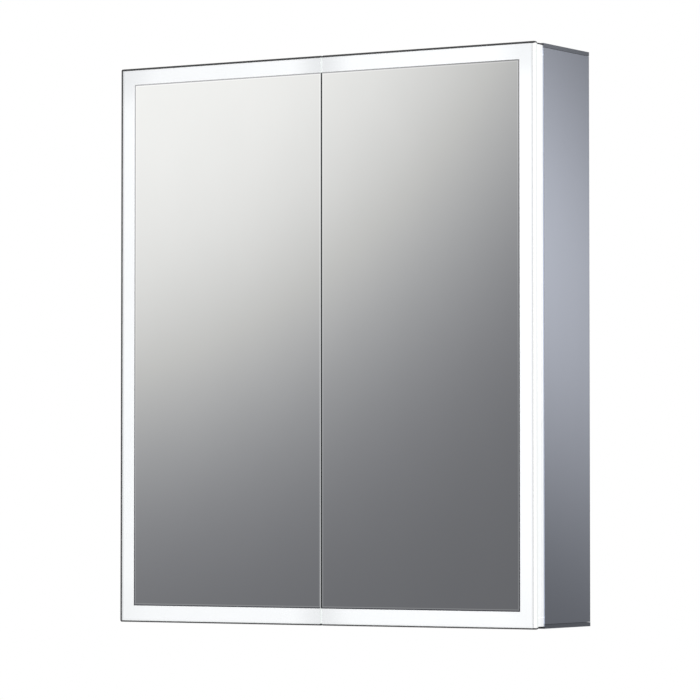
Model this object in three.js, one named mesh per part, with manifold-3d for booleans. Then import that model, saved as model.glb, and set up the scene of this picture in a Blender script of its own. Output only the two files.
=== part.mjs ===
// Wall-hung bathroom mirror cabinet: aluminium box, two pivot-hung mirror doors with lit borders.
// Millimetres, +Z up. The wall plane is y = 0, the doors face -Y, and x = 0, z = 0 is the centre.
import * as THREE from "three";
import { mergeVertices } from "three/addons/utils/BufferGeometryUtils.js";
import Module from "manifold-3d";

const wasm = await Module();
wasm.setup();

// Overall
const DOOR_HALF_W = 300; // outer edge of each mirror
const DOOR_HALF_H = 350;
const FRONT_Y = -137; // front of the mirrors
const FIT = 0.1; // gap between pieces that are glued or laid together

// Box
const BODY_HALF_W = 299.5;
const BODY_HALF_H = 349.5;
const BODY_FRONT_Y = FRONT_Y + 22;
const SIDE_T = 14;
const TOP_T = 5;
const SEAM = 0.4; // shadow joint between side and top or bottom panel
const EDGE_CHAMFER = 0.3;
const BACK_T = 6;
const INNER_HALF_W = BODY_HALF_W - SIDE_T;
const INNER_HALF_H = BODY_HALF_H - TOP_T;

// Shelves
const SHELF_Z = [-130, 88]; // top faces
const SHELF_T = 6;
const SHELF_BACK_Y = -14;
const SHELF_FRONT_Y = -103;
const HOLE_ROWS_Y = [-30, -88];
const HOLE_PITCH = 32;
const HOLES_EACH_WAY = 2;
const HOLE_R = 2.8;
const HOLE_DEPTH = 9;
const PIN_R = 2.5;
const PIN_NOSE_R = 3.2;
const PIN_COLLAR_R = 4.5;

// Technical space under the top panel
const COVER_Z = 303; // underside
const COVER_T = 1.5;
const COVER_FRONT_Y = -72;
const HANGER_X = 250;
const HANGER_Z = 325;
const KEYHOLE_R = 5;
const SENSOR_X = 170;
const SENSOR_Y = -58;
const SENSOR_R = 6;
const GROMMET_X = 130;
const GROMMET_Z = 326;
const GROMMET_HOLE_R = 10;

// Door build-up, front to back
const GLASS_T = 5;
const GLASS_BEVEL = 0.9;
const GLASS_CORNER_R = 2;
const MEETING_GAP = 0.9; // glass edge to the centre plane
const SIDE_BORDER = 21.6; // lit width at the outer side
const TOP_BORDER = 20.8; // lit width at the top and bottom
const FILM_T = 0.4;
const CARRIER_FRONT_Y = FRONT_Y + 5.6;
const CARRIER_BACK_Y = FRONT_Y + 17.8;
const CARRIER_W = 20;
const CARRIER_X0 = 2.5;
const CARRIER_X1 = DOOR_HALF_W - SIDE_BORDER - FIT;
const CARRIER_HALF_H = DOOR_HALF_H - TOP_BORDER - FIT;
const DOOR_BACK_Y = FRONT_Y + 20.8;
const INNER_MIRROR_T = 2.9;
const CHANNEL_OUTER_X = 299;
const CHANNEL_OUTER_Z = 348.5;
const CHANNEL_WALL = 2.5;
const CHANNEL_LIP = 2;
const CHANNEL_FRONT_Y = FRONT_Y + 5.1;
const CHANNEL_GAP = 0.3; // carrier frame to light channel
const CHANNEL_SIDE_X0 = CARRIER_X1 + CHANNEL_GAP;
const CHANNEL_TOP_Z0 = CARRIER_HALF_H + CHANNEL_GAP;
const SIDE_CHANNEL_HALF_H = 335.7;

// LED strips
const STRIP_T = 1;
const STRIP_Y0 = FRONT_Y + 9;
const STRIP_Y1 = FRONT_Y + 17;
const LED_PITCH = 25;
const LED_SIZE = 5;
const LED_H = 1.1;
const STRIP_LIFT = 0.2;

// Pivot hinges: a plate let into the top or bottom panel, its pin in the door's corner block
const PIVOT_X = 296;
const PIVOT_Y = FRONT_Y + 12;
const PLATE_Z0 = 347;
const PLATE_Z1 = 348.5;
const PLATE_BACK_Y = -86;
const PLATE_X0 = 284;
const EYE_R = 2.8;
const PIVOT_PIN_R = 1.8;
const PIVOT_PIN_Z0 = 338;
const PIVOT_BORE_R = 2.1;
const BLOCK_Z0 = 336;
const BLOCK_Z1 = 346.6;
const BLOCK_CHAMFER = 0.8;
const PLATE_SLOT_GAP = 0.2;

// Catch
const CATCH_HALF_W = 22;
const CATCH_Y = [-110, -90];
const CATCH_Z0 = 331;
const CATCH_Z1 = 344.3;
const STRIKE_X = [5, 20];
const STRIKE_Z = [333, 343];
const STRIKE_T = 1;
const BUMPER_X = 11;
const BUMPER_Z = -347;
const BUMPER_R = 1.9;
const BUMPER_H = 0.8;

const metal = (color, roughness) =>
  new THREE.MeshStandardMaterial({ color, roughness, metalness: 1 });
const plain = (color, roughness) =>
  new THREE.MeshStandardMaterial({ color, roughness, metalness: 0 });
const ALUMINIUM = metal(0xa9adb6, 0.38);
const STEEL = metal(0xc3c6c9, 0.28);
const MIRROR = metal(0xdfe4e6, 0.04);
const FILM = plain(0x9aa3a6, 0.5);
const OPAL = new THREE.MeshStandardMaterial({
  color: 0xf6f8fa, roughness: 0.35, metalness: 0, emissive: 0xffffff, emissiveIntensity: 0.6,
});
const STRIP = plain(0xf1f0e6, 0.45);
const GLASS = plain(0xc5dcd6, 0.05);
const WHITE = plain(0xe9eaea, 0.42);
const RUBBER = plain(0x3a3c3e, 0.8);
const CLEAR_SOFT = plain(0xd7dbdc, 0.3);
const DRIVER = plain(0xdadcdd, 0.5);

const group = new THREE.Group();
group.name = "mirror_cabinet";

function add(name, geometry, material) {
  const mesh = new THREE.Mesh(geometry, material);
  mesh.name = name;
  group.add(mesh);
}

// Shapes

function box([x0, x1], [y0, y1], [z0, z1]) {
  const g = new THREE.BoxGeometry(x1 - x0, y1 - y0, z1 - z0);
  return g.translate((x0 + x1) / 2, (y0 + y1) / 2, (z0 + z1) / 2);
}

function outline(points) {
  return new THREE.Shape(points.map(([u, v]) => new THREE.Vector2(u, v)));
}

// Outline in (x, y), pulled along z
function prismZ(points, z0, z1, holes = []) {
  const shape = outline(points);
  shape.holes = holes.map((h) => outline(h));
  return new THREE.ExtrudeGeometry(shape, { depth: z1 - z0, bevelEnabled: false }).translate(0, 0, z0);
}

// Outline in (y, z), pulled along x
function prismX(points, x0, x1) {
  const basis = new THREE.Matrix4().makeBasis(
    new THREE.Vector3(0, 1, 0), new THREE.Vector3(0, 0, 1), new THREE.Vector3(1, 0, 0));
  return prismZ(points, x0, x1).applyMatrix4(basis);
}

// Outline in (z, x), pulled along y
function prismY(points, y0, y1, holes = []) {
  const basis = new THREE.Matrix4().makeBasis(
    new THREE.Vector3(0, 0, 1), new THREE.Vector3(1, 0, 0), new THREE.Vector3(0, 1, 0));
  return prismZ(points, y0, y1, holes).applyMatrix4(basis);
}

function circle(u, v, r, count, from = 0, to = 2 * Math.PI) {
  const full = to - from > 2 * Math.PI - 1e-6;
  return Array.from({ length: full ? count : count + 1 }, (_, i) => {
    const a = from + ((to - from) * i) / count;
    return [u + r * Math.cos(a), v + r * Math.sin(a)];
  });
}

function rectangle([u0, u1], [v0, v1]) {
  return [[u0, v0], [u1, v0], [u1, v1], [u0, v1]];
}

function cylinderZ(x, y, r, z0, z1, sides = 20) {
  return prismZ(circle(x, y, r, sides), z0, z1);
}

function cylinderX(y, z, r, x0, x1, sides = 12) {
  return prismX(circle(y, z, r, sides), x0, x1);
}

function cylinderY(x, z, r, y0, y1, sides = 20) {
  return prismY(circle(z, x, r, sides), y0, y1);
}

// Mirrors a piece built for the right door or the top to the other side
function flipped(geometry, [sx, sy, sz]) {
  const g = solid(geometry);
  g.scale(sx, sy, sz);
  if (sx * sy * sz < 0) {
    const index = g.index.array;
    for (let i = 0; i < index.length; i += 3) [index[i], index[i + 1]] = [index[i + 1], index[i]];
  }
  return g;
}

function solid(geometry) {
  const g = geometry.clone();
  g.deleteAttribute("normal");
  g.deleteAttribute("uv");
  return mergeVertices(g, 1e-4);
}

function toManifold(geometry) {
  const g = solid(geometry);
  return new wasm.Manifold(new wasm.Mesh({
    numProp: 3,
    vertProperties: new Float32Array(g.attributes.position.array),
    triVerts: new Uint32Array(g.index.array),
  }));
}

function toGeometry(manifold) {
  const mesh = manifold.getMesh();
  const g = new THREE.BufferGeometry();
  g.setAttribute("position", new THREE.BufferAttribute(new Float32Array(mesh.vertProperties), 3));
  g.setIndex(new THREE.BufferAttribute(new Uint32Array(mesh.triVerts), 1));
  g.computeVertexNormals();
  return g;
}

function cut(base, tools) {
  return toGeometry(tools.reduce((m, t) => m.subtract(toManifold(t)), toManifold(base)));
}

function joined(base, others) {
  return toGeometry(others.reduce((m, t) => m.add(toManifold(t)), toManifold(base)));
}

// Box of the cabinet

function pinHeights() {
  const heights = [];
  for (const top of SHELF_Z) {
    const pin = top - SHELF_T - FIT - PIN_NOSE_R;
    for (let i = -HOLES_EACH_WAY; i <= HOLES_EACH_WAY; i++) heights.push(pin + i * HOLE_PITCH);
  }
  return heights;
}

function sidePanel() {
  const c = EDGE_CHAMFER;
  const [x0, x1, y0, y1] = [INNER_HALF_W, BODY_HALF_W, BODY_FRONT_Y, 0];
  const section = [
    [x0 + c, y0], [x1 - c, y0], [x1, y0 + c], [x1, y1 - c], [x1 - c, y1], [x0, y1], [x0, y0 + c],
  ];
  const half = INNER_HALF_H - SEAM;
  const holes = HOLE_ROWS_Y.flatMap((y) =>
    pinHeights().map((z) => cylinderX(y, z, HOLE_R, x0 - 1, x0 + HOLE_DEPTH)));
  return cut(prismZ(section, -half, half), holes);
}

function plateSlot(sx) {
  const g = PLATE_SLOT_GAP;
  const slot = box([PLATE_X0 - g, PIVOT_X + g], [BODY_FRONT_Y - 1, PLATE_BACK_Y + g],
    [PLATE_Z0 - g, PLATE_Z1 + g]);
  return flipped(slot, [sx, 1, 1]);
}

function topPanel() {
  const c = EDGE_CHAMFER;
  const [z0, z1, w] = [INNER_HALF_H, BODY_HALF_H, BODY_HALF_W];
  const section = [
    [z0, -w], [z1 - c, -w], [z1, -w + c], [z1, w - c], [z1 - c, w], [z0, w],
  ];
  return cut(prismY(section, BODY_FRONT_Y, 0), [plateSlot(1), plateSlot(-1)]);
}

function backPanel() {
  const w = INNER_HALF_W - FIT;
  const h = INNER_HALF_H - FIT;
  const wallHoles = [-1, 1].map((s) => circle(HANGER_Z, s * HANGER_X, 2 * KEYHOLE_R, 20));
  const cable = circle(GROMMET_Z, GROMMET_X, GROMMET_HOLE_R + 0.3, 24);
  return prismY(rectangle([-h, h], [-w, w]), -BACK_T, 0, [...wallHoles, cable]);
}

function grommet() {
  const r = GROMMET_HOLE_R;
  const y = -BACK_T - FIT;
  const flange = 3;
  const profile = [[4, 0], [r, 0], [r, y], [r + flange, y], [r + flange, y - 1.5], [4, y - 1.5], [4, 0]];
  const g = new THREE.LatheGeometry(profile.map(([a, b]) => new THREE.Vector2(a, b)).reverse(), 24);
  return g.translate(GROMMET_X, 0, GROMMET_Z);
}

function hangerPlate(sx) {
  const slot = 2.6;
  const keyhole = [
    ...circle(HANGER_Z - 4, sx * HANGER_X, KEYHOLE_R, 14, Math.PI / 6, (11 * Math.PI) / 6),
    [HANGER_Z + 9, sx * HANGER_X - slot], [HANGER_Z + 11, sx * HANGER_X],
    [HANGER_Z + 9, sx * HANGER_X + slot],
  ];
  const y = -BACK_T - FIT;
  return prismY(rectangle([HANGER_Z - 17, HANGER_Z + 17], [sx * HANGER_X - 24, sx * HANGER_X + 24]),
    y - 2, y, [keyhole]);
}

function technicalCover() {
  const [yb, yf, z, t] = [-BACK_T - 4.6, COVER_FRONT_Y, COVER_Z, COVER_T];
  const top = INNER_HALF_H - FIT;
  const section = [[yb, z], [yb, z + t], [yf + t, z + t], [yf + t, top], [yf, top], [yf, z]];
  const w = INNER_HALF_W - 0.5;
  const plate = prismX(section, -w, w);
  return cut(plate, [cylinderZ(SENSOR_X, SENSOR_Y, SENSOR_R + 0.3, z - 1, z + t + 1)]);
}

function doorSensor() {
  const body = cylinderZ(SENSOR_X, SENSOR_Y, SENSOR_R, COVER_Z - FIT, COVER_Z + 12);
  const bezel = cylinderZ(SENSOR_X, SENSOR_Y, SENSOR_R + 3, COVER_Z - 2, COVER_Z - FIT);
  return joined(bezel, [body.translate(0, 0, -FIT / 2)]);
}

function ledDriver() {
  const base = box([-130, 40], [-58, -14], [COVER_Z + COVER_T + FIT, COVER_Z + 26]);
  const ear = box([-142, 52], [-44, -28], [COVER_Z + COVER_T + FIT, COVER_Z + 5]);
  return joined(base, [ear]);
}

function terminalBlock() {
  const z = COVER_Z + COVER_T + FIT;
  const wells = [0, 1, 2].map((i) => cylinderZ(76 + i * 10, -36, 2.6, z + 8, z + 20, 10));
  return cut(box([70, 102], [-46, -26], [z, z + 16]), wells);
}

function socketPlate() {
  const [y, z] = [-60, -262];
  const x0 = -INNER_HALF_W + FIT;
  const plate = box([x0, x0 + 9], [y - 40, y + 40], [z - 40, z + 40]);
  const wells = [-17, 17].map((dz) => cylinderX(y, z + dz, 14, x0 + 6.5, x0 + 12, 24));
  const slots = [-17, 17].flatMap((dz) => [-9, 9].map((dy) =>
    cylinderX(y + dy, z + dz, 2.2, x0 + 1, x0 + 12, 8)));
  return cut(plate, [...wells, ...slots]);
}

function magneticCatch() {
  const z = [CATCH_Z0, CATCH_Z1];
  const housing = box([-CATCH_HALF_W, CATCH_HALF_W], CATCH_Y, z);
  const poles = [-1, 1].map((s) =>
    box([s * 12.5 - 6, s * 12.5 + 6], [BODY_FRONT_Y + 0.2, CATCH_Y[0] + 1], [CATCH_Z0 + 2.5, CATCH_Z1 - 2.5]));
  return joined(housing, poles);
}

// Shelves

function shelf(top) {
  const w = INNER_HALF_W - 2.2;
  const r = 2;
  const corners = [[-1, -1], [1, -1], [1, 1], [-1, 1]];
  const [y0, y1] = [SHELF_FRONT_Y, SHELF_BACK_Y];
  const points = corners.flatMap(([sx, sy]) => {
    const start = Math.atan2(sy, sx) - Math.PI / 4;
    return circle(sx * (w - r), (y0 + y1) / 2 + sy * ((y1 - y0) / 2 - r), r, 4, start, start + Math.PI / 2);
  });
  return prismZ(points, top - SHELF_T, top);
}

function shelfPin(sx, y, top) {
  const z = top - SHELF_T - FIT - PIN_NOSE_R * Math.cos(Math.PI / 12);
  const x = INNER_HALF_W;
  const stem = cylinderX(y, z, PIN_R, x - 1, x + HOLE_DEPTH - 1);
  const collar = cylinderX(y, z - 1.2, PIN_COLLAR_R - 1.2, x - 1.3, x - 0.2);
  const nose = cylinderX(0, 0, PIN_NOSE_R, x - 9, x - 1).rotateX(Math.PI / 12).translate(0, y, z);
  return flipped(joined(stem, [collar, nose]), [sx, 1, 1]);
}

// Doors. Every piece is built for the right door's upper half or for the whole right door.

function doorGlass() {
  const [z1, x0, x1, r] = [DOOR_HALF_H, MEETING_GAP, DOOR_HALF_W, GLASS_CORNER_R];
  const points = [
    [-z1, x0], ...circle(-z1 + r, x1 - r, r, 4, Math.PI, Math.PI / 2),
    ...circle(z1 - r, x1 - r, r, 4, Math.PI / 2, 0), [z1, x0],
  ].reverse();
  const bevel = GLASS_BEVEL;
  const basis = new THREE.Matrix4().makeBasis(
    new THREE.Vector3(0, 0, 1), new THREE.Vector3(1, 0, 0), new THREE.Vector3(0, 1, 0));
  const g = new THREE.ExtrudeGeometry(outline(points), {
    depth: GLASS_T - 2 * bevel, bevelThickness: bevel, bevelSize: bevel, bevelOffset: -bevel,
    bevelSegments: 1, curveSegments: 1,
  });
  return g.translate(0, 0, FRONT_Y + bevel).applyMatrix4(basis);
}

function mirrorFilm() {
  const y0 = FRONT_Y + GLASS_T + FIT;
  const z = CARRIER_HALF_H + FIT;
  return box([MEETING_GAP + 1, CARRIER_X1 + FIT], [y0, y0 + FILM_T], [-z, z]);
}

function carrierFrame() {
  const h = CARRIER_HALF_H;
  const w = CARRIER_W;
  return prismY(rectangle([-h, h], [CARRIER_X0, CARRIER_X1]), CARRIER_FRONT_Y, CARRIER_BACK_Y,
    [rectangle([-h + w, h - w], [CARRIER_X0 + w, CARRIER_X1 - w])]);
}

function innerMirror() {
  const y1 = DOOR_BACK_Y;
  return box([CARRIER_X0, CARRIER_X1], [y1 - INNER_MIRROR_T, y1], [-CARRIER_HALF_H, CARRIER_HALF_H]);
}

// C-shaped light channel, as an outline across it: depth a from the door's inside to its rim, along y
function channelOutline(inner, outer) {
  const [yf, yb, lip] = [CHANNEL_FRONT_Y, DOOR_BACK_Y, CHANNEL_LIP];
  const wall = outer - CHANNEL_WALL;
  const c = BLOCK_CHAMFER;
  return [
    [inner, yf], [outer, yf], [outer, yb - c], [outer - c, yb], [inner, yb],
    [inner, yb - lip], [wall, yb - lip], [wall, yf + lip], [inner, yf + lip],
  ];
}

function sideChannel() {
  return prismZ(channelOutline(CHANNEL_SIDE_X0, CHANNEL_OUTER_X), -SIDE_CHANNEL_HALF_H, SIDE_CHANNEL_HALF_H);
}

function topChannel() {
  const section = channelOutline(CHANNEL_TOP_Z0, CHANNEL_OUTER_Z).map(([z, y]) => [y, z]);
  return prismX(section.reverse(), CARRIER_X0, CARRIER_X1);
}

function ledRow(base, length, placeLed) {
  const count = Math.floor(length / LED_PITCH);
  const leds = Array.from({ length: count }, (_, i) => placeLed((i - (count - 1) / 2) * LED_PITCH));
  return joined(base, leds);
}

function sideStrip() {
  const x = CARRIER_X1 + STRIP_LIFT;
  const half = CARRIER_HALF_H - 5;
  const mid = (STRIP_Y0 + STRIP_Y1) / 2;
  return ledRow(box([x, x + STRIP_T], [STRIP_Y0, STRIP_Y1], [-half, half]), 2 * half, (at) =>
    box([x + STRIP_T / 2, x + STRIP_T + LED_H], [mid - LED_SIZE / 2, mid + LED_SIZE / 2],
      [at - LED_SIZE / 2, at + LED_SIZE / 2]));
}

function topStrip() {
  const z = CARRIER_HALF_H + STRIP_LIFT;
  const [x0, x1] = [CARRIER_X0 + 8, CARRIER_X1 - 8];
  const mid = (STRIP_Y0 + STRIP_Y1) / 2;
  return ledRow(box([x0, x1], [STRIP_Y0, STRIP_Y1], [z, z + STRIP_T]), x1 - x0, (at) => {
    const x = (x0 + x1) / 2 + at;
    return box([x - LED_SIZE / 2, x + LED_SIZE / 2], [mid - LED_SIZE / 2, mid + LED_SIZE / 2],
      [z + STRIP_T / 2, z + STRIP_T + LED_H]);
  });
}

function cornerBlock() {
  const c = BLOCK_CHAMFER;
  const [x0, x1, y0, y1] = [CHANNEL_SIDE_X0, CHANNEL_OUTER_X, CHANNEL_FRONT_Y, DOOR_BACK_Y];
  const section = [[x0, y0], [x1, y0], [x1, y1 - c], [x1 - c, y1], [x0, y1]];
  const bore = cylinderZ(PIVOT_X, PIVOT_Y, PIVOT_BORE_R, PIVOT_PIN_Z0 - 0.5, BLOCK_Z1 + 1);
  return cut(prismZ(section, BLOCK_Z0, BLOCK_Z1), [bore]);
}

function pivotPlate() {
  const [x0, px, py, front] = [PLATE_X0, PIVOT_X, PIVOT_Y, BODY_FRONT_Y];
  const plan = [
    [x0, PLATE_BACK_Y], [x0, front - 0.6],
    ...circle(px, py, EYE_R, 10, (7 * Math.PI) / 6, 2 * Math.PI),
    [px + EYE_R, front - 1.2], [px, front - 0.6], [px, PLATE_BACK_Y],
  ];
  const plate = prismZ(plan, PLATE_Z0, PLATE_Z1);
  return joined(plate, [cylinderZ(px, py, PIVOT_PIN_R, PIVOT_PIN_Z0, PLATE_Z0 + 0.5)]);
}

function strikePlate() {
  return box(STRIKE_X, [DOOR_BACK_Y + FIT, DOOR_BACK_Y + FIT + STRIKE_T], STRIKE_Z);
}

function bumper() {
  return cylinderY(BUMPER_X, BUMPER_Z, BUMPER_R, BODY_FRONT_Y - FIT - BUMPER_H, BODY_FRONT_Y - FIT, 16);
}

function addDoor(side, sx) {
  const name = (piece) => `${side}_door_${piece}`;
  const whole = (piece, geometry, material) => add(name(piece), flipped(geometry, [sx, 1, 1]), material);
  const pair = (piece, geometry, material) => {
    add(name(`${piece}_top`), flipped(geometry, [sx, 1, 1]), material);
    add(name(`${piece}_bottom`), flipped(geometry, [sx, 1, -1]), material);
  };
  whole("mirror_glass", doorGlass(), MIRROR);
  whole("mirror_backing", mirrorFilm(), FILM);
  whole("carrier_frame", carrierFrame(), ALUMINIUM);
  whole("inner_mirror", innerMirror(), MIRROR);
  whole("light_channel_side", sideChannel(), OPAL);
  whole("led_strip_side", sideStrip(), STRIP);
  whole("strike_plate", strikePlate(), STEEL);
  pair("light_channel", topChannel(), OPAL);
  pair("led_strip", topStrip(), STRIP);
  pair("corner_block", cornerBlock(), WHITE);
}

// Assembly

for (const [side, sx] of [["left", -1], ["right", 1]]) {
  add(`side_panel_${side}`, flipped(sidePanel(), [sx, 1, 1]), ALUMINIUM);
  add(`hanger_plate_${side}`, hangerPlate(sx), STEEL);
  add(`pivot_plate_${side}_top`, flipped(pivotPlate(), [sx, 1, 1]), STEEL);
  add(`pivot_plate_${side}_bottom`, flipped(pivotPlate(), [sx, 1, -1]), STEEL);
  add(`bumper_${side}`, flipped(bumper(), [sx, 1, 1]), CLEAR_SOFT);
  addDoor(side, sx);
  SHELF_Z.forEach((top, i) => HOLE_ROWS_Y.forEach((y, j) => {
    add(`shelf_pin_${i ? "upper" : "lower"}_${side}_${j ? "front" : "rear"}`, shelfPin(sx, y, top), STEEL);
  }));
}
SHELF_Z.forEach((top, i) => add(`shelf_${i ? "upper" : "lower"}`, shelf(top), GLASS));
add("top_panel", topPanel(), ALUMINIUM);
add("bottom_panel", flipped(topPanel(), [1, 1, -1]), ALUMINIUM);
add("back_panel", backPanel(), WHITE);
add("back_mirror", box([-283, 283], [-BACK_T - 4.1, -BACK_T - FIT], [-342, COVER_Z - 0.5]), MIRROR);
add("technical_cover", technicalCover(), ALUMINIUM);
add("door_sensor", doorSensor(), RUBBER);
add("led_driver", ledDriver(), DRIVER);
add("terminal_block", terminalBlock(), WHITE);
add("cable_grommet", grommet(), RUBBER);
add("socket_plate", socketPlate(), WHITE);
add("magnetic_catch", magneticCatch(), WHITE);

export default group;
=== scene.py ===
import math

import bmesh
import bpy
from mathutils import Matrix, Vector

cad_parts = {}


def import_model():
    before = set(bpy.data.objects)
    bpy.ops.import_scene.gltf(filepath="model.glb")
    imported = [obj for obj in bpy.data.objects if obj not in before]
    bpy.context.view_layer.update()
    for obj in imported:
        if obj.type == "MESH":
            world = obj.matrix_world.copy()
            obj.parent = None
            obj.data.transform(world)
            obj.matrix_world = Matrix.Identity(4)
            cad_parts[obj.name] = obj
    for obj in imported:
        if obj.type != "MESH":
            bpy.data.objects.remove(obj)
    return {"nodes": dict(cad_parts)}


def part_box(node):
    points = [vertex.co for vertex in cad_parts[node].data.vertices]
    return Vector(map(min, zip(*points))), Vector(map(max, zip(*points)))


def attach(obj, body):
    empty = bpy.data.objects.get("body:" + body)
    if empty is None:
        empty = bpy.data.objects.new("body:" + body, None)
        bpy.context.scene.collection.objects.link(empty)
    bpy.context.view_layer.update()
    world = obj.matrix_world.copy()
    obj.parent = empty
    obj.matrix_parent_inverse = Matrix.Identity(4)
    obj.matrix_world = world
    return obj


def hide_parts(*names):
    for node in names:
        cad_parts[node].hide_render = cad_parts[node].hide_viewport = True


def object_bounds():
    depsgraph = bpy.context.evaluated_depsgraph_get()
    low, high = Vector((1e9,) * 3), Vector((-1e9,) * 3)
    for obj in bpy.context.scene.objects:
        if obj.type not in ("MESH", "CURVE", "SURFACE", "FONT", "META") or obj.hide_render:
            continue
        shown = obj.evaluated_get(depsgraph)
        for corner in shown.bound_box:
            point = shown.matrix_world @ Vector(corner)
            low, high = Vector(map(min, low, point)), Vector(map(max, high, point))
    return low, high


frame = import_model()
cad_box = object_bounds()
SIDES = (("left", -1), ("right", 1))
MM = 0.001


# --- node helpers -----------------------------------------------------------------------------

class Tree:
    """A material's or world's node tree, with short ways to add and join nodes."""

    def __init__(self, owner):
        owner.use_nodes = True
        self.nodes, self.links = owner.node_tree.nodes, owner.node_tree.links
        self.nodes.clear()

    def add(self, kind, inputs=None, **settings):
        node = self.nodes.new(kind)
        for key, value in settings.items():
            setattr(node, key, value)
        for key, value in (inputs or {}).items():
            socket = node.inputs[key]
            if isinstance(value, bpy.types.NodeSocket):
                self.links.new(value, socket)
            else:
                socket.default_value = value
        return node

    def math(self, operation, *values, clamp=False):
        inputs = dict(enumerate(values))
        return self.add("ShaderNodeMath", inputs, operation=operation, use_clamp=clamp).outputs[0]

    def place(self, scale):
        """Object coordinates in metres, stretched."""
        coords = self.add("ShaderNodeTexCoord").outputs["Object"]
        return self.add("ShaderNodeMapping", {"Vector": coords, "Scale": scale}).outputs[0]

    def xyz(self):
        """Object coordinates in metres as three sockets."""
        coords = self.add("ShaderNodeTexCoord").outputs["Object"]
        return self.add("ShaderNodeSeparateXYZ", {0: coords}).outputs

    def noise(self, scale, size, detail=3.0, rough=0.5):
        """Noise value; a larger scale on an axis makes the pattern finer along it."""
        return self.add("ShaderNodeTexNoise", {
            "Vector": self.place(scale), "Scale": size, "Detail": detail, "Roughness": rough,
        }).outputs["Fac"]

    def span(self, value, low, high, to_low=0.0, to_high=1.0, smooth=False):
        """Maps low..high to to_low..to_high and holds the end values outside."""
        return self.add("ShaderNodeMapRange", {
            "Value": value, "From Min": low, "From Max": high, "To Min": to_low, "To Max": to_high,
        }, interpolation_type="SMOOTHSTEP" if smooth else "LINEAR").outputs[0]

    def mix(self, factor, a, b):
        node = self.add("ShaderNodeMix", data_type="RGBA")
        for key, value in (("Factor_Float", factor), ("A_Color", a), ("B_Color", b)):
            socket = next(s for s in node.inputs if s.identifier == key)
            if isinstance(value, bpy.types.NodeSocket):
                self.links.new(value, socket)
            else:
                socket.default_value = value
        return next(s for s in node.outputs if s.identifier == "Result_Color")

    def shaded(self, tone, level):
        """The tone made darker where level is below 1."""
        return self.mix(level, rgb(0, 0, 0), rgb(*tone))

    def bump(self, height, strength, distance):
        return self.add("ShaderNodeBump", {
            "Height": height, "Strength": strength, "Distance": distance}).outputs[0]

    def surface(self, **inputs):
        named = {key.replace("_", " "): value for key, value in inputs.items()}
        shader = self.add("ShaderNodeBsdfPrincipled", named)
        self.add("ShaderNodeOutputMaterial", {"Surface": shader.outputs[0]})


def rgb(r, g, b):
    return (r, g, b, 1.0)


# --- materials --------------------------------------------------------------------------------

# The glass's polished slope: its width at the side and at the top and bottom, and how deep it goes.
RIM_SIDE, RIM_CAP, RIM_DEPTH = 3.3 * MM, 1.9 * MM, 1.4 * MM
TOP_RIM_WIDER = 1.4
FRONT_HALF_X, _, FRONT_HALF_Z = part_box("right_door_mirror_glass")[1]
# Where a door's side channel and end channel meet: painted shade makes the border's painted glow
# weaker there.
CHANNEL_CORNER_X, CHANNEL_CORNER_Z = 0.293, 0.343
JOINT_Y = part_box("right_door_light_channel_side")[1].y - 4.8 * MM
FROST_GLOW = 0.40
LIT_GLASS_TONE = (0.10, 0.115, 0.115)


def anodised(name, tone, grain, rough=0.26, rear_shade_line=None):
    """Satin anodised aluminium: fine drawn grain, faint wide streaks, and a painted shade line at
    the rear.
    """
    mat = bpy.data.materials.new(name)
    t = Tree(mat)
    fine = t.noise(grain, 1.0, 2.0)
    streak = t.noise(tuple(g / 6 for g in grain), 1.0, 3.0, 0.6)
    cloud = t.noise((9, 9, 5), 1.0, 2.0)
    streak_tone = t.span(streak, 0.3, 0.7, 0.99, 1.005)
    shade = t.math("ADD", streak_tone, t.span(cloud, 0.3, 0.7, -0.008, 0.008))
    colour = t.shaded(tone, shade)
    if rear_shade_line is not None:
        # painted shade: the colour darkens over the last millimetre before the rear edge, in place
        # of a shadow line there
        line = t.span(t.xyz()[1], rear_shade_line - 0.0008, rear_shade_line, 0.0, 0.75)
        colour = t.mix(line, colour, rgb(0.05, 0.05, 0.055))
    t.surface(Base_Color=colour, Metallic=1.0,
              Roughness=t.span(fine, 0.25, 0.75, rough - 0.012, rough + 0.012),
              Normal=t.bump(fine, 0.015, 0.0001))
    return mat


def brushed_steel(name, tone=(0.60, 0.61, 0.63), rough=0.27):
    """Steel with a fine grain across its length."""
    mat = bpy.data.materials.new(name)
    t = Tree(mat)
    grain = t.noise((2600, 60, 2600), 1.0, 2.0)
    t.surface(Base_Color=t.shaded(tone, t.span(grain, 0.3, 0.7, 0.85, 1.0)), Metallic=1.0,
              Roughness=t.span(grain, 0.25, 0.75, rough - 0.05, rough + 0.07),
              Normal=t.bump(grain, 0.1, 0.0001))
    return mat


def silvered(name, tone=(0.93, 0.933, 0.93), rough=0.0, painted_stray_light=0.0):
    """Silvered glass, almost perfectly smooth, with an even painted glow (emission) that stands in
    for stray light of the strips showing in it.
    """
    mat = bpy.data.materials.new(name)
    t = Tree(mat)
    haze = t.noise((14, 14, 9), 1.0, 4.0, 0.6)
    t.surface(Base_Color=t.shaded(tone, t.span(haze, 0.3, 0.7, 0.985, 1.0)), Metallic=1.0,
              Roughness=t.span(haze, 0.35, 0.75, rough, rough + 0.018),
              Emission_Color=rgb(0.97, 0.985, 1.0), Emission_Strength=painted_stray_light)
    return mat


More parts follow.
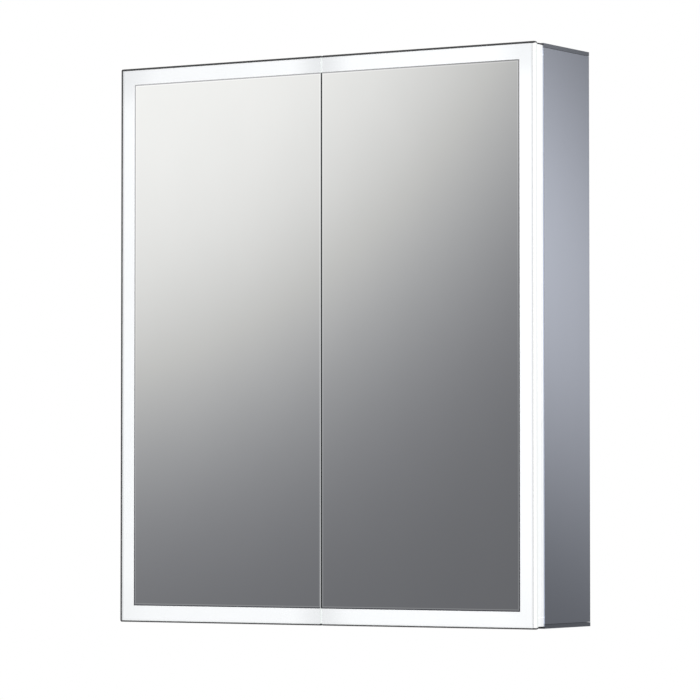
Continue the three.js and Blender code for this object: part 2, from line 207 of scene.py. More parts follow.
def painted_glow_level(t):
    """Painted glow level: 1 along the light channels, lowered by painted shade at the outer
    corners, at the centre gap and at the top.
    """
    x, _, z = t.xyz()
    ax, az = t.math("ABSOLUTE", x), t.math("ABSOLUTE", z)
    dx, dz = t.math("SUBTRACT", CHANNEL_CORNER_X, ax), t.math("SUBTRACT", CHANNEL_CORNER_Z, az)
    squares = t.math("ADD", t.math("MULTIPLY", dx, dx), t.math("MULTIPLY", dz, dz))
    from_corner = t.math("SQRT", squares)
    at_corner = t.span(z, -0.1, 0.1, 0.92, 0.72)
    at_gap = t.span(z, -0.1, 0.1, 0.68, 0.54)
    near_corner = t.span(from_corner, 0.0, 0.060, at_corner, 1.0, smooth=True)
    near_gap = t.span(ax, 0.0, 0.048, at_gap, 1.0, smooth=True)
    towards_top = t.span(z, 0.30, 0.335, 1.0, 0.90, smooth=True)
    return t.math("MULTIPLY", t.math("MINIMUM", near_corner, near_gap), towards_top)


def frosted(name):
    """Sand-blasted glass whose light from behind is a painted glow (emission), fading out towards
    the rim as painted shade.
    """
    mat = bpy.data.materials.new(name)
    t = Tree(mat)
    grit = t.noise((1, 1, 1), 2600.0, 2.0)
    blotch = t.noise((1, 1, 1), 30.0, 2.0)
    x, _, z = t.xyz()
    from_side = t.math("SUBTRACT", FRONT_HALF_X, t.math("ABSOLUTE", x))
    from_cap = t.math("SUBTRACT", FRONT_HALF_Z, t.math("ABSOLUTE", z))
    side_fade = t.span(from_side, RIM_SIDE, RIM_SIDE + 0.0034, 0.15, 1.0, smooth=True)
    cap_fade = t.span(from_cap, RIM_CAP, RIM_CAP + 0.003, 0.8, 1.0, smooth=True)
    glow = t.math("MULTIPLY", painted_glow_level(t), t.span(blotch, 0.3, 0.7, 0.98, 1.02))
    glow = t.math("MULTIPLY", glow, t.math("MINIMUM", side_fade, cap_fade))
    sand = t.span(grit, 0.3, 0.7)
    t.surface(Base_Color=t.mix(sand, rgb(0.79, 0.81, 0.825), rgb(0.865, 0.88, 0.89)),
              Roughness=t.span(grit, 0.3, 0.7, 0.5, 0.62), Normal=t.bump(grit, 0.15, 0.0001),
              Emission_Color=rgb(0.99, 0.995, 1.0),
              Emission_Strength=t.math("MULTIPLY", glow, FROST_GLOW))
    return mat


def opal(name, strength):
    """Milky light channel that glows evenly, less in its joint line."""
    mat = bpy.data.materials.new(name)
    t = Tree(mat)
    milk = t.noise((1, 1, 1), 160.0, 3.0)
    spots = t.noise((1, 1, 1), 38.0, 1.0)
    from_joint = t.math("ABSOLUTE", t.math("SUBTRACT", t.xyz()[1], JOINT_Y))
    joint = t.span(from_joint, 0.0003, 0.0009, 0.5, 1.0)
    glow = t.math("MULTIPLY", t.span(spots, 0.3, 0.7, 0.97, 1.03), joint)
    t.surface(Base_Color=t.mix(milk, rgb(0.86, 0.88, 0.90), rgb(0.93, 0.94, 0.95)),
              Roughness=t.span(milk, 0.3, 0.7, 0.28, 0.38), Normal=t.bump(milk, 0.04, 0.0003),
              Emission_Color=rgb(0.98, 0.99, 1.0),
              Emission_Strength=t.math("MULTIPLY", glow, strength))
    return mat


def glass_edge(name, tone, glow):
    """Ground edge of float glass: grey-green, with a painted glow (emission) where the border's
    light fills it.
    """
    mat = bpy.data.materials.new(name)
    t = Tree(mat)
    lines = t.noise((200, 4000, 200), 1.0, 2.0)
    t.surface(Base_Color=t.shaded(tone, t.span(lines, 0.3, 0.7, 0.8, 1.0)),
              Roughness=t.span(lines, 0.3, 0.7, 0.08, 0.2), Emission_Color=rgb(0.97, 1.0, 0.99),
              Emission_Strength=t.span(lines, 0.3, 0.7, 0.92 * glow, glow))
    return mat


def polished_rim(name, tone):
    """Polished slope round a mirror's front: unsilvered, so it gives back a dim reflection."""
    mat = bpy.data.materials.new(name)
    t = Tree(mat)
    swirl = t.noise((300, 300, 300), 1.0, 2.0)
    t.surface(Base_Color=t.shaded(tone, t.span(swirl, 0.3, 0.7, 0.94, 1.0)), Metallic=1.0,
              Roughness=t.span(swirl, 0.3, 0.7, 0.04, 0.07))
    return mat


def clear_glass(name, tone, rough=0.0):
    """See-through glass with a faint film on it; its tone deepens where the light goes through."""
    mat = bpy.data.materials.new(name)
    t = Tree(mat)
    film = t.noise((1, 1, 1), 24.0, 4.0, 0.6)
    t.surface(Base_Color=t.shaded(tone, t.span(film, 0.3, 0.7, 0.97, 1.0)),
              Roughness=t.span(film, 0.45, 0.8, rough, rough + 0.03),
              IOR=1.5, Transmission_Weight=1.0)
    return mat


def moulded(name, tone, rough=0.42, texture=900.0, depth=0.08, cloudy=0.03, glow=0.0):
    """Moulded or painted surface with a fine texture."""
    mat = bpy.data.materials.new(name)
    t = Tree(mat)
    grain = t.noise((1, 1, 1), texture, 3.0)
    cloud = t.noise((1, 1, 1), 18.0, 2.0)
    t.surface(Base_Color=t.shaded(tone, t.span(cloud, 0.3, 0.7, 1.0 - cloudy, 1.0)),
              Roughness=t.span(grain, 0.3, 0.7, rough - 0.06, rough + 0.08),
              Normal=t.bump(grain, depth, 0.0002),
              Emission_Color=rgb(*tone), Emission_Strength=glow)
    return mat


def led_board(name):
    """White solder mask with copper tracks showing through, lit all over by its LEDs."""
    mat = bpy.data.materials.new(name)
    t = Tree(mat)
    mask = t.noise((1, 1, 1), 700.0, 3.0)
    track = t.span(t.noise((60, 900, 60), 1.0, 1.0), 0.52, 0.55)
    board = t.mix(t.math("MULTIPLY", track, 0.25), rgb(0.88, 0.88, 0.84), rgb(0.70, 0.55, 0.35))
    t.surface(Base_Color=board, Roughness=t.span(mask, 0.3, 0.7, 0.35, 0.5),
              Emission_Color=rgb(1.0, 0.96, 0.86),
              Emission_Strength=t.span(mask, 0.3, 0.7, 0.5, 0.7))
    return mat


# side panels: painted shade line along the rear edge
ALU_SIDE = anodised("anodised_side", (0.62, 0.655, 0.75), grain=(2600, 2600, 16), rear_shade_line=-0.0002)
# painted shade: the ends of the top and bottom panels take the side panel's aluminium in darker
# tones, the top end darker than the bottom
ALU_CAP_TOP_SHADED = anodised("anodised_cap_top_painted_shade", (0.34, 0.36, 0.41), grain=(16, 2600, 2600))
ALU_CAP_BOTTOM_SHADED = anodised("anodised_cap_bottom_painted_shade", (0.43, 0.455, 0.52), grain=(16, 2600, 2600))
ALU_FRAME = anodised("anodised_frame", (0.66, 0.67, 0.69), grain=(400, 400, 9), rough=0.34)
STEEL = brushed_steel("brushed_steel")
BLACK_STEEL = brushed_steel("blackened_steel", (0.12, 0.12, 0.125), 0.35)
SILVER = silvered("silvered_glass")
# painted glow: the inner mirrors and the back mirror glow faintly, in place of the strips' stray
# light
SILVER_INSIDE = silvered("silver_inside", painted_stray_light=0.025)
# painted highlight: brighter silver with a painted glow, for the light line inside the silvered
# field's edge and along the centre gap
SILVER_HIGHLIGHT = silvered("silver_painted_highlight_line", rough=0.02, painted_stray_light=0.08)
# painted shade: darker silver for the shade line along the silvered field's edge
SILVER_SHADE = silvered("silver_painted_shade_line", (0.46, 0.46, 0.48), 0.05)
# painted glow: the sand-blasted border glows, with painted shade at its corners, at the centre gap,
# at the top and towards the rim
FROSTED = frosted("frosted_border")
# painted glow: the glass edges along the lit border and at the meeting edge beside it glow
EDGE_GLOW = glass_edge("glass_edge_painted_glow", LIT_GLASS_TONE, 0.85)
EDGE_MEETING = glass_edge("glass_edge_meeting_painted_glow", LIT_GLASS_TONE, 0.76)
# painted shade: an almost black copy with next to no glow, for the top and bottom edge faces and
# the meeting edge beside the silvered field
EDGE_SHADED = glass_edge("glass_edge_painted_shade", (0.05, 0.06, 0.06), 0.02)
RIM = polished_rim("polished_rim", (0.20, 0.20, 0.20))
OPAL = opal("opal_acrylic", 0.5)
GLASS = clear_glass("shelf_glass", (0.93, 0.97, 0.955))
GLASS_EDGE = clear_glass("shelf_glass_edge", (0.42, 0.70, 0.62), 0.06)
FILM = moulded("backing_paint", (0.36, 0.40, 0.41), 0.55, 400.0)
WHITE = moulded("white_plastic", (0.82, 0.83, 0.83))
BOARD = moulded("back_board", (0.80, 0.81, 0.81), 0.5, 260.0, cloudy=0.012)
DRIVER = moulded("driver_housing", (0.70, 0.71, 0.71), 0.5)
DARK = moulded("dark_plastic", (0.035, 0.037, 0.04), 0.35)
RUBBER = moulded("rubber", (0.03, 0.031, 0.033), 0.62, 1500.0)
SOFT = moulded("clear_bumper", (0.70, 0.74, 0.74), 0.2, 300.0)
STRIP = led_board("led_board")


# --- mesh helpers -----------------------------------------------------------------------------

def make(name, mesh, body, nodes, mats):
    """Adds a piece that rides on a body and takes the place of the CAD nodes, if any are given."""
    obj = bpy.data.objects.new(name, mesh)
    bpy.context.scene.collection.objects.link(obj)
    for m in mats:
        mesh.materials.append(m)
    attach(obj, body)
    if nodes:
        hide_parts(*nodes)


def finished(bm, name, smooth_under=35):
    """Turns a bmesh into a mesh that is smooth where faces meet at less than the given angle."""
    bmesh.ops.recalc_face_normals(bm, faces=bm.faces)
    mesh = bpy.data.meshes.new(name)
    bm.to_mesh(mesh)
    bm.free()
    mesh.polygons.foreach_set("use_smooth", [True] * len(mesh.polygons))
    mesh.set_sharp_from_angle(angle=math.radians(smooth_under))
    return mesh


def skin(bm, rings):
    """Joins rings of equally many points with quads, and caps the first and last."""
    rows = [[bm.verts.new(p) for p in ring] for ring in rings]
    for a, b in zip(rows, rows[1:]):
        for i in range(len(a)):
            j = (i + 1) % len(a)
            bm.faces.new((a[i], a[j], b[j], b[i]))
    bm.faces.new(rows[0])
    bm.faces.new(rows[-1][::-1])


def rounded(u0, u1, v0, v1, radii, steps=8):
    """Rectangle's outline; one radius per corner, in the order u0 v0, u1 v0, u1 v1, u0 v1."""
    corners = ((u0, v0, 1, 1), (u1, v0, -1, 1), (u1, v1, -1, -1), (u0, v1, 1, -1))
    points = []
    for (u, v, su, sv), r, start in zip(corners, radii, (180, 270, 0, 90)):
        for i in range(steps + 1):
            a = math.radians(start + 90 * i / steps)
            points.append((u + su * r + r * math.cos(a), v + sv * r + r * math.sin(a)))
    return points


def softened(obj, width):
    """Small bevel on a CAD node's edges, as a modifier."""
    mod = obj.modifiers.new("edge", "BEVEL")
    mod.width, mod.segments, mod.limit_method = width, 2, "ANGLE"
    mod.angle_limit = math.radians(40)
    mod.harden_normals = True


def carry(node, mat, bevel=0.0):
    """Keeps a CAD node's shape and gives it a material."""
    obj = frame["nodes"][node]
    obj.data.materials.clear()
    obj.data.materials.append(mat)
    if bevel:
        softened(obj, bevel)


# --- doors ------------------------------------------------------------------------------------

def door_glass(side, sx):
    """One sheet: polished rim, sand-blasted border on three sides, silvered field with a painted
    shade line and a painted highlight line inside its edge, and a painted highlight along the
    centre gap.

    The sheet is cut along the zones' limits, and each face then takes the material of its zone.
    """
    lo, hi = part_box(f"{side}_door_mirror_glass")
    film_lo, film_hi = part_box(f"{side}_door_mirror_backing")
    x0, x1 = min(abs(lo.x), abs(hi.x)), max(abs(lo.x), abs(hi.x))
    film_x, film_z = max(abs(film_lo.x), abs(film_hi.x)), film_hi.z
    front, back = lo.y, hi.y
    arris, meeting_arris = 0.0003, 0.0005
    meeting_radius, outer_radius = 0.0009, 0.0022
    # widths of the painted shade line, of the painted highlight line that follows it, and of the
    # painted highlight at the centre gap
    shade_line_width, lit_line, gap_highlight_width = 0.0015, 0.0028, 0.0021
    tip_z = hi.z - 0.0024
    most = 1 - arris / RIM_DEPTH
    bm = bmesh.new()

    def ring(side_in, cap_in, meeting, y):
        r = [max(base - cap_in, arris) for base in
             (meeting_radius, outer_radius, outer_radius, meeting_radius)]
        v0, v1 = lo.z + cap_in, hi.z - cap_in * TOP_RIM_WIDER
        return [(sx * u, y, v) for u, v in rounded(x0 + meeting, x1 - side_in, v0, v1, r)]

    skin(bm, [
        ring(arris, arris, arris, back),
        ring(0, 0, 0, back - arris),
        ring(0, 0, 0, front + RIM_DEPTH),
        ring(RIM_SIDE * most, RIM_CAP * most, 0, front + arris),
        ring(RIM_SIDE, RIM_CAP, meeting_arris, front),
    ])
    heights = [film_z, film_z - shade_line_width, film_z - lit_line, tip_z]
    cuts = [((0, 0, s * z), (0, 0, 1)) for s in (-1, 1) for z in heights]
    cuts += [((sx * x, 0, 0), (1, 0, 0)) for x in
             (film_x, film_x - shade_line_width, film_x - lit_line, x0 + gap_highlight_width)]
    for point, normal in cuts:
        geom = bm.verts[:] + bm.edges[:] + bm.faces[:]
        bmesh.ops.bisect_plane(bm, geom=geom, plane_co=point, plane_no=normal)
    bm.normal_update()
    mats = [FROSTED, SILVER_SHADE, SILVER_HIGHLIGHT, SILVER, EDGE_GLOW, EDGE_SHADED, RIM, EDGE_MEETING]

    def zone(c):
        """Material of the face whose middle is c."""
        ax, az = abs(c.x), abs(c.z)
        past_film = max(ax - film_x, az - film_z)
        on_front = c.y < front + 1e-5
        on_meeting_edge = ax < x0 + meeting_arris + 0.0001
        if on_front and past_film > 0:
            return FROSTED
        # painted shade line, then painted highlight line, just inside the frosted border; painted
        # highlight also along the centre gap
        if on_front and past_film > -shade_line_width:
            return SILVER_SHADE
        if on_front:
            return SILVER_HIGHLIGHT if past_film > -lit_line or ax < x0 + gap_highlight_width else SILVER
        # meeting edge: painted glow beside the border; painted shade beside the silvered field and
        # beyond the tip
        if on_meeting_edge and film_z < az < tip_z:
            return EDGE_MEETING
        if on_meeting_edge:
            return SILVER if c.y < front + arris and az < film_z else EDGE_SHADED
        if c.y < front + RIM_DEPTH:
            return RIM
        # painted shade on the top and bottom edge faces, painted glow on the side edges
        return EDGE_SHADED if az > tip_z else EDGE_GLOW

    for face in bm.faces:
        face.material_index = mats.index(zone(face.calc_center_median()))
    mesh = finished(bm, f"{side}_door_glass", 20)
    make(f"{side}_door_glass", mesh, f"{side}_door", [f"{side}_door_mirror_glass"], mats)


def channel_outline(y0, y1, inner, outer):
    """C-section open towards the door's middle, with rounded rims and a fine joint line."""
    wall, lip, r = 0.0025, 0.002, 0.0006
    groove, depth = y1 - 0.0048, 0.0004

    def arc(cy, cu, start):
        turns = [math.radians(start + 30 * i) for i in range(4)]
        return [(cy + r * math.cos(a), cu + r * math.sin(a)) for a in turns]

    return [
        (y0, inner), *reversed(arc(y0 + r, outer - r, 90)),
        (groove - 0.0003, outer), (groove, outer - depth), (groove + 0.0003, outer),
        *reversed(arc(y1 - r, outer - r, 0)), (y1, inner),
        (y1 - lip, inner), (y1 - lip, outer - wall), (y0 + lip, outer - wall), (y0 + lip, inner),
    ]


def light_channels(side, sx):
    """The door's three opal channels, along its outer side, its top and its bottom."""
    lo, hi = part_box(f"{side}_door_light_channel_side")
    inner, outer = min(abs(lo.x), abs(hi.x)), max(abs(lo.x), abs(hi.x))
    section = channel_outline(lo.y, hi.y, inner, outer)
    bm = bmesh.new()
    steps = [lo.z + (hi.z - lo.z) * i / 24 for i in range(25)]
    skin(bm, [[(sx * u, y, z) for y, u in section] for z in steps])
    name = f"{side}_door_side_channel"
    make(name, finished(bm, name), f"{side}_door",
         [f"{side}_door_light_channel_side"], [OPAL])
    for end, sz in (("top", 1), ("bottom", -1)):
        lo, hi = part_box(f"{side}_door_light_channel_{end}")
        inner, outer = min(abs(lo.z), abs(hi.z)), max(abs(lo.z), abs(hi.z))
        section = channel_outline(lo.y, hi.y, inner, outer)
        bm = bmesh.new()
        steps = [lo.x + (hi.x - lo.x) * i / 10 for i in range(11)]
        skin(bm, [[(x, y, sz * u) for y, u in section] for x in steps])
        name = f"{side}_door_{end}_channel"
        make(name, finished(bm, name), f"{side}_door",
             [f"{side}_door_light_channel_{end}"], [OPAL])


def corner_pad(side, sx, end, sz):
    """Black pad between the glass and the hinge plate, on the corner block."""
    block_lo, block_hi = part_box(f"{side}_door_corner_block_{end}")
    plate_lo, plate_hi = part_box(f"pivot_plate_{side}_{end}")
    outer = max(abs(block_lo.x), abs(block_hi.x))
    foot = max(abs(block_lo.z), abs(block_hi.z))
    cap = max(abs(plate_lo.z), abs(plate_hi.z))
    width, radius, edge = 0.008, 0.0008, 0.0003
    behind_glass, plate_clearance = 0.0001, 0.0013
    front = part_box(f"{side}_door_mirror_glass")[1].y + behind_glass
    back = plate_lo.y - plate_clearance
    bm = bmesh.new()

    def ring(inset, z):
        u0, u1, v0, v1 = outer - width + inset, outer - inset, front + inset, back - inset
        return [(sx * u, v, sz * z) for u, v in rounded(u0, u1, v0, v1, [radius] * 4, 4)]

    skin(bm, [ring(0, foot), ring(0, cap - edge), ring(edge, cap)])
    name = f"{side}_door_{end}_pad"
    make(name, finished(bm, name), f"{side}_door", (), [RUBBER])


for side, sx in SIDES:
    door_glass(side, sx)
    light_channels(side, sx)
    for end, sz in (("top", 1), ("bottom", -1)):
        corner_pad(side, sx, end, sz)
    carry(f"{side}_door_mirror_backing", FILM)
    carry(f"{side}_door_carrier_frame", ALU_FRAME, 0.0004)
    # the inner mirror's silver carries a faint painted glow
    carry(f"{side}_door_inner_mirror", SILVER_INSIDE, 0.0006)
    carry(f"{side}_door_strike_plate", STEEL, 0.0002)
    for part in ("side", "top", "bottom"):
        carry(f"{side}_door_led_strip_{part}", STRIP)
    for end in ("top", "bottom"):
        carry(f"{side}_door_corner_block_{end}", OPAL, 0.0003)
        carry(f"pivot_plate_{side}_{end}", BLACK_STEEL)


# --- box --------------------------------------------------------------------------------------

for side, sx in SIDES:
    carry(f"side_panel_{side}", ALU_SIDE)
    carry(f"hanger_plate_{side}", STEEL)
    carry(f"bumper_{side}", SOFT, 0.0003)
carry("top_panel", ALU_CAP_TOP_SHADED)
carry("bottom_panel", ALU_CAP_BOTTOM_SHADED)
carry("back_panel", BOARD)
# the back mirror's silver carries a faint painted glow
carry("back_mirror", SILVER_INSIDE, 0.0006)
carry("technical_cover", ALU_FRAME)
carry("door_sensor", DARK)
carry("led_driver", DRIVER, 0.0008)
carry("terminal_block", WHITE, 0.0003)
carry("cable_grommet", RUBBER)
carry("magnetic_catch", WHITE, 0.0004)


def glass_shelf(node):
    """Glass slab with rounded corners; ground edges show the green of the glass."""
    lo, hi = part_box(node)
    corner, arris = 0.003, 0.0008
    bm = bmesh.new()

    def ring(inset, z):
        r = [corner - inset] * 4
        u0, u1, v0, v1 = lo.x + inset, hi.x - inset, lo.y + inset, hi.y - inset
        return [(u, v, z) for u, v in rounded(u0, u1, v0, v1, r)]

    skin(bm, [ring(arris, lo.z), ring(0, lo.z + arris), ring(0, hi.z - arris), ring(arris, hi.z)])
    for face in bm.faces:
        face.material_index = 0 if len(face.verts) > 4 else 1
    make(f"{node}_glass", finished(bm, node, 20), "cabinet",
         [node], [GLASS, GLASS_EDGE])


def turned(name, profile, segments, place):
    """Turned piece from (along, radius) pairs; place maps (along, u, v) to the part's frame."""
    turns = [2 * math.pi * i / segments for i in range(segments)]
    bm = bmesh.new()
    skin(bm, [[place(a, r * math.cos(turn), r * math.sin(turn)) for turn in turns]
              for a, r in profile])
    return finished(bm, name)


def shelf_pin(node, sx):
    """Turned pin: the shelf's rest, a collar against the panel and a plain end in the hole."""
    lo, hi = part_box(node)
    axis_drop = 0.0032
    y, z = (lo.y + hi.y) / 2, hi.z - axis_drop
    inner = min(abs(lo.x), abs(hi.x))
    steps = ((0, 0.0024), (0.0006, 0.0030), (0.0076, 0.0030), (0.0078, 0.0036), (0.0086, 0.0036),
             (0.0088, 0.0024), (0.0158, 0.0024), (0.0164, 0.0019))
    mesh = turned(node, steps, 32, lambda a, u, v: (sx * (inner + a), y + u, z + v))
    make(f"{node}_turned", mesh, "cabinet", [node], [STEEL])


for level in ("upper", "lower"):
    glass_shelf(f"shelf_{level}")
    for side, sx in SIDES:
        for row in ("rear", "front"):
            shelf_pin(f"shelf_pin_{level}_{side}_{row}", sx)


def socket():
    """Faceplate with rounded corners, two shallow round seats and round contact holes."""
    lo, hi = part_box("socket_plate")
    y, z = (lo.y + hi.y) / 2, (lo.z + hi.z) / 2
    half_y, half_z = (hi.y - lo.y) / 2, (hi.z - lo.z) / 2
    bm = bmesh.new()

    def ring(inset, x, r):
        return [(x, y + u, z + v) for u, v in
                rounded(-half_y + inset, half_y - inset, -half_z + inset, half_z - inset, [r] * 4)]

    skin(bm, [
        ring(0, lo.x, 0.006),
        ring(0, hi.x - 0.003, 0.006),
        ring(0.0006, hi.x - 0.0012, 0.0056),
        ring(0.0022, hi.x - 0.0002, 0.0042),
        ring(0.012, hi.x, 0.003),
    ])
    make("socket_faceplate", finished(bm, "socket_faceplate", 50), "cabinet",
         ["socket_plate"], [WHITE])
    seat = ((0, 0.0148), (0.0007, 0.0148), (0.0009, 0.0142), (0.0003, 0.0132), (0.0003, 0.0006))
    contact = ((0, 0.0028), (0.0010, 0.0028), (0.0010, 0.0022), (0.0002, 0.0021), (0.0002, 0.0004))
    seat_offset, contact_offset = 0.017, 0.0085
    for i, dz in enumerate((-seat_offset, seat_offset)):
        mesh = turned(f"seat_{i}", seat, 48, lambda a, u, v: (hi.x + a, y + u, z + dz + v))
        make(f"socket_seat_{i}", mesh, "cabinet", (), [WHITE])
        for j, dy in enumerate((-contact_offset, contact_offset)):
            mesh = turned(f"hole_{i}_{j}", contact, 24,
                          lambda a, u, v: (hi.x + a, y + dy + u, z + dz + v))
            make(f"socket_contact_{i}_{j}", mesh, "cabinet", (), [DARK])


socket()


def screw(name, radius, place):
    """Pan head with a cross recess; place maps (out of the surface, u, v) to the part's frame."""
    count, waist = 32, 0.42
    bm = bmesh.new()

    def ring(out, size, cross=False):
        """Ring at a height and width in head radii, drawn in between the arms of the cross."""
        points = []
        for i in range(count):
            on_arm = not cross or i % 8 in (0, 1, 7)
            r = size if on_arm else size * waist
            a = 2 * math.pi * i / count
            points.append(place(out * radius, r * radius * math.cos(a), r * radius * math.sin(a)))
        return points

    skin(bm, [ring(-0.3, 0.94), ring(0.0, 1.0), ring(0.22, 1.0), ring(0.42, 0.88), ring(0.52, 0.66),
              ring(0.53, 0.54, True), ring(0.12, 0.46, True)])
    make(name, finished(bm, name, 30), "cabinet", (), [STEEL])


def screws():
    """Screws of the cover, the catch, the socket, the wall hangers and the back board."""
    cover_front, cover_row_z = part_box("technical_cover")[0].y, 0.324
    for i, x in enumerate((-0.262, -0.11, 0.11, 0.262)):
        screw(f"cover_screw_{i}", 0.0030, lambda a, u, v: (x + u, cover_front - a, cover_row_z + v))
    catch_base, catch_row_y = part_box("magnetic_catch")[0].z, -0.100
    for i, x in enumerate((-0.0155, 0.0155)):
        screw(f"catch_screw_{i}", 0.0022, lambda a, u, v: (x + u, catch_row_y + v, catch_base - a))
    lo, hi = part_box("socket_plate")
    socket_face, socket_y, socket_z = hi.x, (lo.y + hi.y) / 2, (lo.z + hi.z) / 2
    screw("socket_screw", 0.0020, lambda a, u, v: (socket_face + a, socket_y + u, socket_z + v))
    for side, _ in SIDES:
        lo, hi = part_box(f"hanger_plate_{side}")
        front, mid_z, from_end = lo.y, (lo.z + hi.z) / 2, 0.007
        for i, x in enumerate((lo.x + from_end, hi.x - from_end)):
            screw(f"hanger_screw_{side}_{i}", 0.0028, lambda a, u, v: (x + u, front - a, mid_z + v))
    board_rear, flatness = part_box("back_panel")[1].y, 0.1
    spots = [(x, z) for x in (-0.270, 0.270) for z in (-0.27, -0.09, 0.09, 0.27)]
    spots += [(x, z) for x in (-0.15, 0.15) for z in (-0.332, 0.332)]
    for i, (x, z) in enumerate(spots):
        screw(f"board_screw_{i}", 0.0030, lambda a, u, v: (x + u, board_rear + a * flatness, z + v))


screws()


# --- studio -----------------------------------------------------------------------------------

def card(name, centre, facing, size, paint):
    """Light card that the camera sees only in reflections; paint fills its material's tree."""
    turn = Vector(facing).normalized().to_track_quat("Z", "Y").to_matrix().to_4x4()
    w, h = size[0] / 2, size[1] / 2
    bm = bmesh.new()
    bm.faces.new([bm.verts.new(turn @ Vector(p) + Vector(centre)) for p in
                  ((-w, -h, 0), (w, -h, 0), (w, h, 0), (-w, h, 0))])
    mesh = bpy.data.meshes.new(name)
    bm.to_mesh(mesh)
    bm.free()
    obj = bpy.data.objects.new(name, mesh)
    bpy.context.scene.collection.objects.link(obj)
    mat = bpy.data.materials.new(name)
    paint(Tree(mat))
    mesh.materials.append(mat)
    obj.visible_camera = False
    obj.visible_shadow = False
    return obj


FRONT = cad_box[0].y
CARD_X, CARD_Y, CARD_Z = -1.24, FRONT - 2.0, 0.10
BRIGHT_SPOT = (-1.92, 1.26)
FADE_RADIUS, FADE_WIDTH = 1.245, 0.16
DIMMEST, SPOT_GAIN = 0.14, 0.86
SIDE_SPOT = (0.95, 1.0, 0.17)
SIDE_CARD_LIGHT, RIM_CARD_LIGHT = 0.85, 5.4


def distance_from(t, x, z):
    """Distance from a spot on the front card."""
    coords = t.add("ShaderNodeTexCoord").outputs["Object"]
    node = t.add("ShaderNodeVectorMath", {0: coords, 1: (x, CARD_Y, z)}, operation="DISTANCE")
    return node.outputs["Value"]


def show(t, colour, strength, opacity):
    """Emission that lets what is behind it show where opacity is below 1."""
    light = t.add("ShaderNodeEmission", {"Color": colour, "Strength": strength})
    clear = t.add("ShaderNodeBsdfTransparent")
    both = t.add("ShaderNodeMixShader", {0: opacity, 1: clear.outputs[0], 2: light.outputs[0]})
    t.add("ShaderNodeOutputMaterial", {"Surface": both.outputs[0]})


def front_gradient(t):
    """What the mirrors reflect: a soft light high on the left that falls off in an S-curve."""
    past_radius = t.math("SUBTRACT", distance_from(t, *BRIGHT_SPOT), FADE_RADIUS)
    outward = t.math("DIVIDE", past_radius, FADE_WIDTH)
    curve = t.math("DIVIDE", 1.0, t.math("ADD", 1.0, t.math("EXPONENT", outward)))
    warmth = t.math("MULTIPLY", curve, 2.0, clamp=True)
    colour = t.mix(warmth, rgb(0.955, 0.975, 1.05), rgb(1.0, 1.0, 0.985))
    opacity = t.span(distance_from(t, CARD_X, CARD_Z), 0.8, 1.35, 1.0, 0.0, smooth=True)
    show(t, colour, t.math("ADD", DIMMEST, t.math("MULTIPLY", curve, SPOT_GAIN)), opacity)


def side_gradient(t):
    """What the side panel reflects: a soft slanting band of light, stronger towards the front."""
    x, _, z = t.xyz()
    across = t.math("SUBTRACT", x, SIDE_SPOT[0])
    slant = t.math("MULTIPLY", across, 1.2)
    above = t.math("SUBTRACT", t.math("SUBTRACT", z, SIDE_SPOT[2]), slant)
    band = t.span(t.math("ABSOLUTE", above), 0.0, 0.55, 1.0, 0.0, smooth=True)
    ends = t.span(t.math("ABSOLUTE", across), 0.20, 0.38, 1.0, 0.0, smooth=True)
    lean = t.span(across, -0.2, 0.2, 0.4, 1.8)
    show(t, rgb(1, 1, 1), t.math("MULTIPLY", lean, SIDE_CARD_LIGHT), t.math("MULTIPLY", band, ends))


def even_light(t):
    """What the polished rims reflect."""
    light = t.add("ShaderNodeEmission", {"Color": rgb(1, 1, 1), "Strength": RIM_CARD_LIGHT})
    t.add("ShaderNodeOutputMaterial", {"Surface": light.outputs[0]})


card("front_card", (CARD_X, CARD_Y, CARD_Z), (0, 1, 0), (3.0, 3.0), front_gradient)
card("side_card", SIDE_SPOT, (-0.5, -0.88, -0.04), (0.9, 1.4), side_gradient)
rim_card = card("rim_card", (1.22, FRONT - 3.0, 0.12), (-0.3, 0.95, 0), (0.44, 1.6), even_light)
rim_card.visible_diffuse = False


def area(name, place, power):
    """Round soft light aimed at the cabinet, without a reflection of its own."""
    data = bpy.data.lights.new(name, "AREA")
    data.shape, data.size, data.energy = "DISK", 1.6, power
    obj = bpy.data.objects.new(name, data)
    bpy.context.scene.collection.objects.link(obj)
    obj.location = place
    obj.rotation_mode = "QUATERNION"
    obj.rotation_quaternion = (-Vector(place)).to_track_quat("-Z", "Y")
    obj.visible_camera = False
    obj.visible_glossy = False


area("rear_fill", (-1.4, 2.6, 1.6), 60.0)
area("front_fill", (1.6, -2.6, 1.4), 35.0)


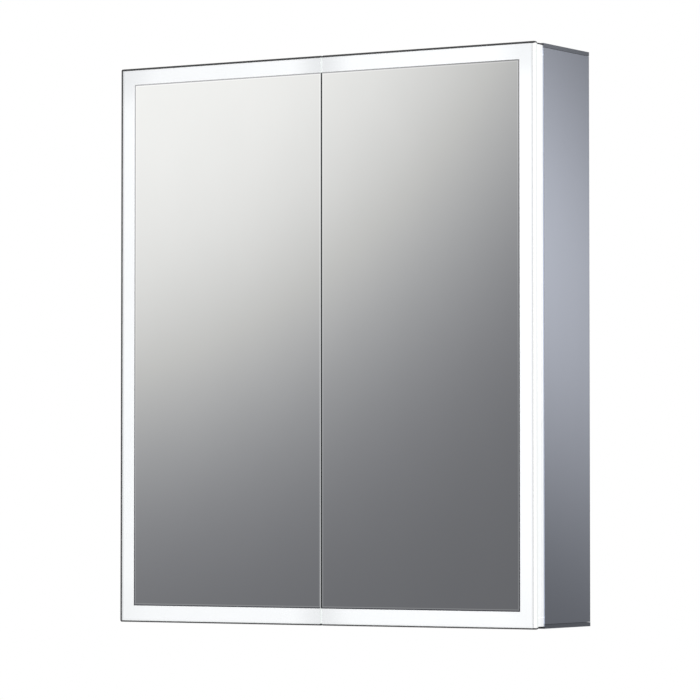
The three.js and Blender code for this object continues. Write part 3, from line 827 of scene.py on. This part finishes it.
def world():
    """White to the camera. To everything else a grey room: light towards the front, dimmer behind,
    pale below, and pale above and below the rear."""
    w = bpy.data.worlds.new("studio")
    bpy.context.scene.world = w
    t = Tree(w)
    direction = t.add("ShaderNodeTexCoord").outputs["Generated"]
    x, y, z = t.add("ShaderNodeSeparateXYZ", {0: direction}).outputs
    # 1 straight ahead of the doors and a little to the right
    to_front = t.math("SUBTRACT", t.math("MULTIPLY", x, 0.3), t.math("MULTIPLY", y, 0.95))
    level = t.span(to_front, 0.6, 0.98, 0.36, 0.75, smooth=True)
    behind = t.span(y, 0.1, 0.6, 1.0, 0.42, smooth=True)
    steep = t.span(t.math("ABSOLUTE", z), 0.25, 0.45, 0.0, 1.0, smooth=True)
    ends = t.span(y, -0.3, 0.4, 0.0, 0.55, smooth=True)
    ground = t.span(z, -0.25, -0.45, 0.0, 0.5, smooth=True)
    seen = t.add("ShaderNodeLightPath").outputs["Is Camera Ray"]
    around = t.math("MAXIMUM", t.math("MULTIPLY", level, behind), t.math("MULTIPLY", steep, ends))
    strength = t.math("MAXIMUM", around, ground)
    room = t.add("ShaderNodeBackground", {"Color": rgb(0.98, 0.99, 1.0), "Strength": strength})
    white = t.add("ShaderNodeBackground", {"Color": rgb(1, 1, 1), "Strength": 1.0})
    both = t.add("ShaderNodeMixShader", {0: seen, 1: room.outputs[0], 2: white.outputs[0]})
    t.add("ShaderNodeOutputWorld", {"Surface": both.outputs[0]})


world()


def floor():
    """Pale floor far below the hung cabinet; it takes no part in the cabinet's reflections."""
    drop = 0.95
    bm = bmesh.new()
    bmesh.ops.create_circle(bm, cap_ends=True, radius=14.0, segments=96)
    bmesh.ops.translate(bm, verts=bm.verts, vec=(0, 0, cad_box[0].z - drop))
    mesh = bpy.data.meshes.new("floor")
    bm.to_mesh(mesh)
    bm.free()
    obj = bpy.data.objects.new("floor", mesh)
    bpy.context.scene.collection.objects.link(obj)
    pale = moulded("pale_floor", (0.86, 0.86, 0.855), 0.7, 40.0, depth=0.0, cloudy=0.004, glow=0.45)
    mesh.materials.append(pale)
    obj.visible_diffuse = False
    obj.visible_glossy = False


floor()


def camera():
    """Camera to the right of the front and slightly below, looking a little up."""
    azimuth, elevation, distance = math.radians(31.55), math.radians(-2.21), 4.794
    target = Vector((0.0414, FRONT, -0.0134))
    level = math.cos(elevation)
    back = Vector((math.sin(azimuth) * level, -math.cos(azimuth) * level, math.sin(elevation)))
    data = bpy.data.cameras.new("camera")
    data.lens, data.sensor_width = 201.9, 36.0
    data.clip_start, data.clip_end = 0.05, 60.0
    obj = bpy.data.objects.new("camera", data)
    bpy.context.scene.collection.objects.link(obj)
    obj.location = target + back * distance
    obj.rotation_mode = "QUATERNION"
    obj.rotation_quaternion = (-back).to_track_quat("-Z", "Y")
    bpy.context.scene.camera = obj


camera()
bpy.context.scene.view_settings.view_transform = "Standard"
